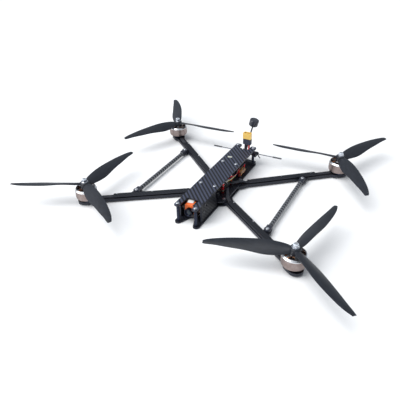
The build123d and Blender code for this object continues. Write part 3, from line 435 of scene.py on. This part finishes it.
def paint_frame():
    """Materials of every CAD node."""
    # One woven carbon, painted at a different brightness on each part: the top plate lighter with strongly
    # contrasting tows, as painted light on the upward face; the camera side plates, arm covers and arms darker,
    # as painted shade.
    plate = carbon("carbon_plate", light=0.018, dark=0.007)
    cover("top_plate", carbon("carbon_top", light=0.078, dark=0.003, tow=2.08))
    cover("mid_plate", plate)
    cover("bottom_plate", plate)
    cover("camera_plates", carbon("carbon_side", "YZ", light=0.012, dark=0.006))
    cover("arm_covers", carbon("carbon_covers", light=0.014, dark=0.007, turn=20))
    for corner, turn in ARM_TURN.items():
        cover(f"arm_{corner}", carbon(f"carbon_arm_{corner}", turn=turn, light=0.011, dark=0.005))
    low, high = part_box("brace_tubes")
    tube_r = (high.z - low.z) / 2 / MM
    tube_x = high.x / MM - tube_r
    cover("brace_tubes", braided_tube("braided_carbon", tube_x, middle("brace_tubes").z, tube_r))

    black = moulded("black_nylon", grey(0.02, INK), 0.42)
    anodised = turned_metal("black_anodised", grey(0.045, INK), (0, 0), 0.34, 0.15)
    steel = small_metal("bright_steel", (0.78, 0.8, 0.84))
    for node in ("brace_ends", "zip_ties", "dipole_sleeves"):
        cover(node, black)
    cover("plug_cap", moulded("plug_cap_black", grey(0.045, INK), 0.5))
    for node in ("motor_bases", "standoffs_long", "standoffs_short", "video_transmitter"):
        cover(node, anodised)
    for node in ("button_screws", "bottom_screws", "motor_screws", "cover_screws"):
        cover(node, steel)
    for node in ("arm_nuts", "motor_bearings"):
        cover(node, steel)
    cover("camera_screws", small_metal("dull_steel", (0.2, 0.2, 0.22), 0.35))
    cover("motor_stators", stacked_steel("laminations"))
    cover("motor_windings", copper("copper_turns"))
    # The orange printed cradle is painted dark red-brown: painted shade under the top plate.
    cover("camera_bracket", printed("cradle_print", (0.035, 0.012, 0.008), (0.014, 0.007, 0.006), 1))
    cover("camera_body", two_part_case("camera_case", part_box("camera_body")[1].y / MM - CASE_REAR))
    cover("camera_lens", turned_metal("lens_black", grey(0.025, INK), (0, 0), 0.26, 0.1))
    cover("speed_controller", circuit("power_board", (0.012, 0.014, 0.018), 3.0))
    cover("flight_controller", circuit("flight_board", (0.01, 0.014, 0.02), 11.0))
    cover("receiver", circuit("receiver_board", (0.02, 0.03, 0.05), 7.0))
    cover("stack_posts", turned_metal("red_posts", (0.62, 0.03, 0.035), (0, 0), 0.3, 0.12,
                                      stained=(0.3, 0.012, 0.015)))
    cover("capacitor", sleeve("amber_sleeve", (0.5, 0.2, 0.015), (0.16, 0.045, 0.004)))
    cover("lead_red", silicone("red_jacket", (0.78, 0.05, 0.045)))
    cover("lead_black", silicone("black_jacket", grey(0.03, INK)))
    cover("motor_wires", silicone("black_wire", grey(0.018, INK)))
    cover("dipole_wire", silicone("dipole_jacket", grey(0.05, INK)))
    cover("antenna_stem", silicone("stem_jacket", grey(0.014, INK)))
    cover("power_plug", moulded("yellow_nylon", (0.94, 0.60, 0.16), 0.42, 1.0, 0.03, 0.08,
                                Subsurface_Weight=0.08))
    cover("plug_pins", small_metal("gilded", (0.9, 0.62, 0.2), 0.2))
    cover("antenna_mount", printed("black_print", grey(0.022, INK), grey(0.01, INK)))
    cover("video_antenna", moulded("antenna_shell", grey(0.02, INK), 0.22, 0.6, 0.015, 0.2, Coat_Weight=0.4,
                                   Coat_Roughness=0.12))
    for corner in ARM_TURN:
        centre = middle(f"magnet_ring_{corner}")
        champagne = turned_metal(f"champagne_{corner}", (0.36, 0.30, 0.285), centre, 0.36, 0.1,
                                 0.5, (0.25, 0.19, 0.175))
        cover(f"magnet_ring_{corner}", champagne)
        cover(f"bell_{corner}", turned_metal(f"silver_{corner}", (0.86, 0.87, 0.89), centre, 0.26, 0.12))
        cover(f"propeller_{corner}", propeller_plastic(f"nylon_{corner}", centre))
        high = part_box(f"prop_nut_{corner}")[1].z / MM
        cover(f"prop_nut_{corner}", nut_metal(f"nut_{corner}", high - COLLAR))


# ---- new pieces ------------------------------------------------------------------------------------
SMOOTH_BELOW = math.radians(40)         # edges sharper than this stay sharp


def add_piece(name, mesh_maker, material, body):
    """A new mesh, made in millimetres in the row frame, that rides on a body."""
    mesh = bmesh.new()
    mesh_maker(mesh)
    bmesh.ops.scale(mesh, vec=(MM, MM, MM), verts=mesh.verts)
    bmesh.ops.recalc_face_normals(mesh, faces=mesh.faces)
    data = bpy.data.meshes.new(name)
    mesh.to_mesh(data)
    mesh.free()
    data.materials.append(material)
    data.shade_smooth()
    data.set_sharp_from_angle(angle=SMOOTH_BELOW)
    piece = bpy.data.objects.new(name, data)
    bpy.context.scene.collection.objects.link(piece)
    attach(piece, body)


def block(mesh, low, high, bevel=0.3, segments=3):
    """A box with rounded edges, added to the mesh."""
    made = bmesh.ops.create_cube(mesh, size=1.0)["verts"]
    size = [b - a for a, b in zip(low, high)]
    centre = [(a + b) / 2 for a, b in zip(low, high)]
    bmesh.ops.scale(mesh, vec=size, verts=made)
    bmesh.ops.translate(mesh, vec=centre, verts=made)
    edges = list({e for v in made for e in v.link_edges})
    bmesh.ops.bevel(mesh, geom=edges, offset=bevel, segments=segments, profile=0.5, affect="EDGES")


def patch(mesh, size, bevel, place, segments=3):
    """A thin rounded plate, turned a little about the vertical, whose underside's middle is at place."""
    half_x, half_y, high = size
    block(mesh, (-half_x, -half_y, 0), (half_x, half_y, high), bevel, segments)
    turn = Matrix.Rotation(math.radians(PATCH_TURN), 3, "Z")
    bmesh.ops.rotate(mesh, cent=(0, 0, 0), matrix=turn, verts=mesh.verts)
    bmesh.ops.translate(mesh, vec=place, verts=mesh.verts)


def turned(mesh, profile, centre, axis="Z", steps=48):
    """A lathe-turned shape from (radius, height) points, round an axis through centre."""
    rings = []
    for radius, height in profile:
        ring = []
        for k in range(steps):
            a = 2 * math.pi * k / steps
            c, s = radius * math.cos(a), radius * math.sin(a)
            at = {"Z": (c, s, height), "Y": (c, height, s)}[axis]
            ring.append(mesh.verts.new([q + d for q, d in zip(centre, at)]))
        rings.append(ring)
    for one, two in zip(rings, rings[1:]):
        for k in range(steps):
            n = (k + 1) % steps
            mesh.faces.new((one[k], one[n], two[n], two[k]))
    mesh.faces.new(rings[0])
    mesh.faces.new(rings[-1])


def wire(name, points, radius, material, body):
    """A thin insulated wire along a smooth curve through points given in millimetres."""
    curve = bpy.data.curves.new(name, "CURVE")
    curve.dimensions = "3D"
    curve.bevel_depth = radius * MM
    curve.bevel_resolution = 4
    curve.resolution_u = 10
    curve.use_fill_caps = True
    spline = curve.splines.new("NURBS")
    spline.points.add(len(points) - 1)
    for point, at in zip(spline.points, points):
        point.co = (*[c * MM for c in at], 1.0)
    spline.order_u = 3
    spline.use_endpoint_u = True
    piece = bpy.data.objects.new(name, curve)
    curve.materials.append(material)
    bpy.context.scene.collection.objects.link(piece)
    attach(piece, body)


def camera_details():
    """The pale tag on top of the camera, a black sheet beside it as painted shade, and the lens glass with a
    painted reflection.
    """
    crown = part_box("camera_body")[1].z / MM
    tag = Paint("pale_tag", 0.5, Coat_Weight=0.2, Coat_Roughness=0.3)
    fleck = tag.noise(1.2, 4.0)
    drift = tag.noise(0.15, 2.0)
    tone = tag.weigh(fleck, 0.5, drift, 0.5)
    tag_paint = tag.finish(tag.mix(tag.ramp(tone, 0.35, 0.65), (0.62, 0.61, 0.58), (0.85, 0.84, 0.81)),
                           tag.ramp(fleck, 0.3, 0.7, 0.42, 0.6), fleck, 0.04, 0.5)

    def tag_shape(mesh):
        patch(mesh, (5.1, 4.2, 1.7), 0.5, (-3.6, -96.4, crown))

    add_piece("camera_tag", tag_shape, tag_paint, "camera")

    # A thin black sheet on the camera's top beside the tag: painted shade on that part of the top.
    def shade_sheet_shape(mesh):
        block(mesh, (4.2, -106.4, crown), (8.4, -93.0, crown + 0.8), 0.3)

    add_piece("camera_shade_sheet", shade_sheet_shape, moulded("shade_sheet_black", grey(0.012, INK), 0.45), "camera")

    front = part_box("camera_lens")[0].y / MM
    glass = Paint("coated_glass", 0.06, Coat_Weight=0.15, Coat_Roughness=0.03, Specular_IOR_Level=0.35)
    across = glass.place()[0]
    shift = glass.noise(0.25, 1.0)
    # Painted reflection: the glass runs from dark purple to blue-green across it, the glint of its coating.
    tint = glass.mix(glass.ramp(glass.weigh(across, 1.0, shift, 3.0), -4.0, 6.0),
                     (0.006, 0.004, 0.016), (0.004, 0.02, 0.028))
    glass_paint = glass.finish(tint, None, shift, 0.02, 0.1)

    def dome(mesh):
        radius, bulge, steps = 4.35, 1.25, 9
        angles = [k * math.pi / 2 / steps for k in range(steps)]
        profile = [(radius * math.cos(a), -bulge * math.sin(a)) for a in angles]
        turned(mesh, profile + [(0.05, -bulge)], (0, front + 1.75, LENS_Z), "Y")

    add_piece("lens_glass", dome, glass_paint, "camera")


def board_details():
    """Chips, sockets, solder and the thin wires between the boards."""
    chip = moulded("chip_black", grey(0.012, INK), 0.35)
    white = moulded("socket_white", (0.72, 0.71, 0.66), 0.4, vary=0.1)
    solder = small_metal("solder", (0.8, 0.81, 0.84), 0.18)

    def power_stages(mesh):
        for side in (-1, 1):
            for k in range(6):
                y = -19.0 + 5.2 * k
                low = (side * 12.6 - 1.5, y - 1.9, POWER_TOP)
                block(mesh, low, (side * 12.6 + 1.5, y + 1.9, POWER_TOP + 1.1), 0.15, 2)

    def solder_pads(mesh):
        motor_pad = [(1.25, 0.0), (1.2, 0.5), (0.9, 0.9), (0.1, 1.05)]
        battery_pad = [(2.3, 0.0), (2.2, 1.2), (1.6, 2.0), (0.1, 2.3)]
        for side in (-1, 1):
            for middle_y in (-13.5, 1.5):
                for k in (-1, 0, 1):
                    turned(mesh, motor_pad, (side * 14.6, middle_y + 3 * k, POWER_TOP), "Z", 16)
        for side in (-1, 1):
            turned(mesh, battery_pad, (side * 4.5, 11.6, POWER_TOP), "Z", 20)

    def sockets(mesh):
        for side in (-1, 1):
            low = (side * 16.0 - 1.8, -11.0, FLIGHT_TOP)
            block(mesh, low, (side * 16.0 + 1.8, -3.0, FLIGHT_TOP + 2.4), 0.25)
        block(mesh, (-4.0, -23.6, FLIGHT_TOP), (4.0, -20.0, FLIGHT_TOP + 2.4), 0.25)
        block(mesh, (-5.0, 71.4, DECK_TOP), (5.0, 74.0, DECK_TOP + 2.2), 0.25)

    def transmitter_chips(mesh):
        block(mesh, (12.2, 47.6, DECK_TOP), (15.2, 51.0, DECK_TOP + 1.4), 0.2)
        block(mesh, (12.4, 66.0, DECK_TOP), (15.0, 69.0, DECK_TOP + 1.0), 0.2)

    add_piece("power_stages", power_stages, chip, "frame")
    add_piece("solder_pads", solder_pads, solder, "frame")
    add_piece("board_sockets", sockets, white, "frame")
    add_piece("transmitter_chips", transmitter_chips, chip, "frame")
    jackets = {
        "signal_red": ((0.7, 0.04, 0.03), "red_silicone"),
        "signal_black": (grey(0.02, INK), "black_silicone"),
        "signal_white": ((0.78, 0.76, 0.7), "yellow_nylon"),
        "signal_yellow": ((0.9, 0.55, 0.08), "yellow_nylon"),
    }
    for k, (name, (colour, slot)) in enumerate(jackets.items()):
        paint = silicone(name, colour)
        x = 15.4 + 0.95 * k
        to_transmitter = [(x, -4.5 - k, 26.2), (x + 1.6, 2.0, 26.4 - k), (18.6 - 0.2 * k, 14.0, 24.5 - k),
                          (18.2, 26.0, 21.5 - 0.5 * k), (17.5 - 0.6 * k, 38.0, 22.0), (14.8, 46.4 + k, 23.2)]
        to_camera = [(3.0 - 1.6 * k, -22.6, 26.2), (3.2 - 1.7 * k, -30.0, 26.6), (5.0 - 1.8 * k, -40.0, 23.0),
                     (4.4 - 1.8 * k, -56.0, 18.0), (3.0 - 1.5 * k, -70.0, 16.5)]
        wire(f"{name}_rear", to_transmitter, WIRE_RADIUS, paint, "frame")
        wire(f"{name}_front", to_camera, WIRE_RADIUS, paint, "frame")


def tie_tails():
    """The clipped ends of the cable ties, bent round behind the block."""
    black = moulded("tie_black", grey(0.016, INK), 0.4)
    low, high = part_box("zip_ties")
    z = (low.z + high.z) / 2 / MM

    def tails(mesh):
        for side in (-1, 1):
            path = [(23.2, 113.2, z - 0.6), (23.6, 113.3, z - 3.0),
                    (25.4, 113.4, z - 6.0), (27.8, 113.6, z - 8.6)]
            previous = None
            for x, y, height in path:
                ring = [mesh.verts.new((side * x + dx, y + dy, height))
                        for dx, dy in ((-0.5, -1.1), (0.5, -1.1), (0.5, 1.1), (-0.5, 1.1))]
                if previous:
                    for a in range(4):
                        mesh.faces.new((previous[a], previous[(a + 1) % 4], ring[(a + 1) % 4], ring[a]))
                else:
                    mesh.faces.new(ring)
                previous = ring
            mesh.faces.new(previous)

    add_piece("tie_tails", tails, black, "frame")


def deck_label():
    """The small pale label stuck on the rear half of the top plate."""
    p = Paint("pale_label", 0.55)
    fibre = p.noise(1.5, 4.0)
    paint = p.finish(p.mix(p.ramp(fibre, 0.35, 0.65), (0.42, 0.44, 0.38), (0.56, 0.57, 0.50)),
                     p.ramp(fibre, 0.3, 0.7, 0.5, 0.65), fibre, 0.05, 0.5)
    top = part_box("top_plate")[1].z / MM

    def shape(mesh):
        patch(mesh, (3.8, 2.4, 0.25), 0.1, (-9.0, 56.4, top), 2)

    add_piece("deck_label", shape, paint, "frame")


def shielded_parts():
    """Bright shields and a dark red coil near the stack's left edge, seen between the plates."""
    tin = small_metal("tin_shield", (0.7, 0.71, 0.74), 0.2)
    coil = moulded("dark_red_coil", (0.22, 0.015, 0.012), 0.4)

    def shield(mesh):
        block(mesh, (17.6, 7.4, 10.0), (20.0, 12.4, 12.6), 0.3)

    def coil_shape(mesh):
        turned(mesh, [(2.2, 0.0), (2.4, 0.6), (2.4, 4.4), (2.2, 5.0), (0.1, 5.1)], (18.0, 40.5, 10.3), "Z", 24)

    add_piece("tin_shield", shield, tin, "frame")
    add_piece("red_coil", coil_shape, coil, "frame")


# ---- studio ----------------------------------------------------------------------------------------
def studio():
    """A pale floor, broad soft daylight and a dim even surround."""
    scene = bpy.context.scene
    scene.view_settings.view_transform = "Standard"
    mesh = bmesh.new()
    half, level = 9.0, -0.0002
    square = ((-half, -half), (half, -half), (half, half), (-half, half))
    corners = [mesh.verts.new((x, y, level)) for x, y in square]
    mesh.faces.new(corners)
    bmesh.ops.subdivide_edges(mesh, edges=mesh.edges[:], cuts=8, use_grid_fill=True)
    data = bpy.data.meshes.new("floor")
    mesh.to_mesh(data)
    mesh.free()
    p = Paint("pale_floor", 0.85, Specular_IOR_Level=0.1)
    grain = p.noise(0.02, 2.0)
    data.materials.append(p.finish(p.mix(grain, (0.9, 0.9, 0.9), (0.92, 0.92, 0.92))))
    floor = bpy.data.objects.new("floor", data)
    scene.collection.objects.link(floor)

    world = bpy.data.worlds.new("surround")
    world.use_nodes = True
    back = world.node_tree.nodes["Background"]
    back.inputs["Color"].default_value = (0.86, 0.92, 1.0, 1.0)
    back.inputs["Strength"].default_value = 0.5
    scene.world = world

    def lamp(name, kind, energy, place, aim, **settings):
        data = bpy.data.lights.new(name, kind)
        data.energy = energy
        for key, value in settings.items():
            setattr(data, key, value)
        light = bpy.data.objects.new(name, data)
        light.location = place
        light.rotation_euler = (Vector(aim) - Vector(place)).to_track_quat("-Z", "Y").to_euler()
        scene.collection.objects.link(light)

    lamp("daylight", "SUN", 2.5, (-0.9, -0.8, 2.2), (0, 0, 0), angle=math.radians(50))
    lamp("side_box", "AREA", 9.0, (-0.9, -0.9, 0.7), (0, 0, 0.02), shape="RECTANGLE", size=1.0, size_y=0.7)


make_camera()
paint_frame()
deck_label()
shielded_parts()
camera_details()
board_details()
tie_tails()
studio()
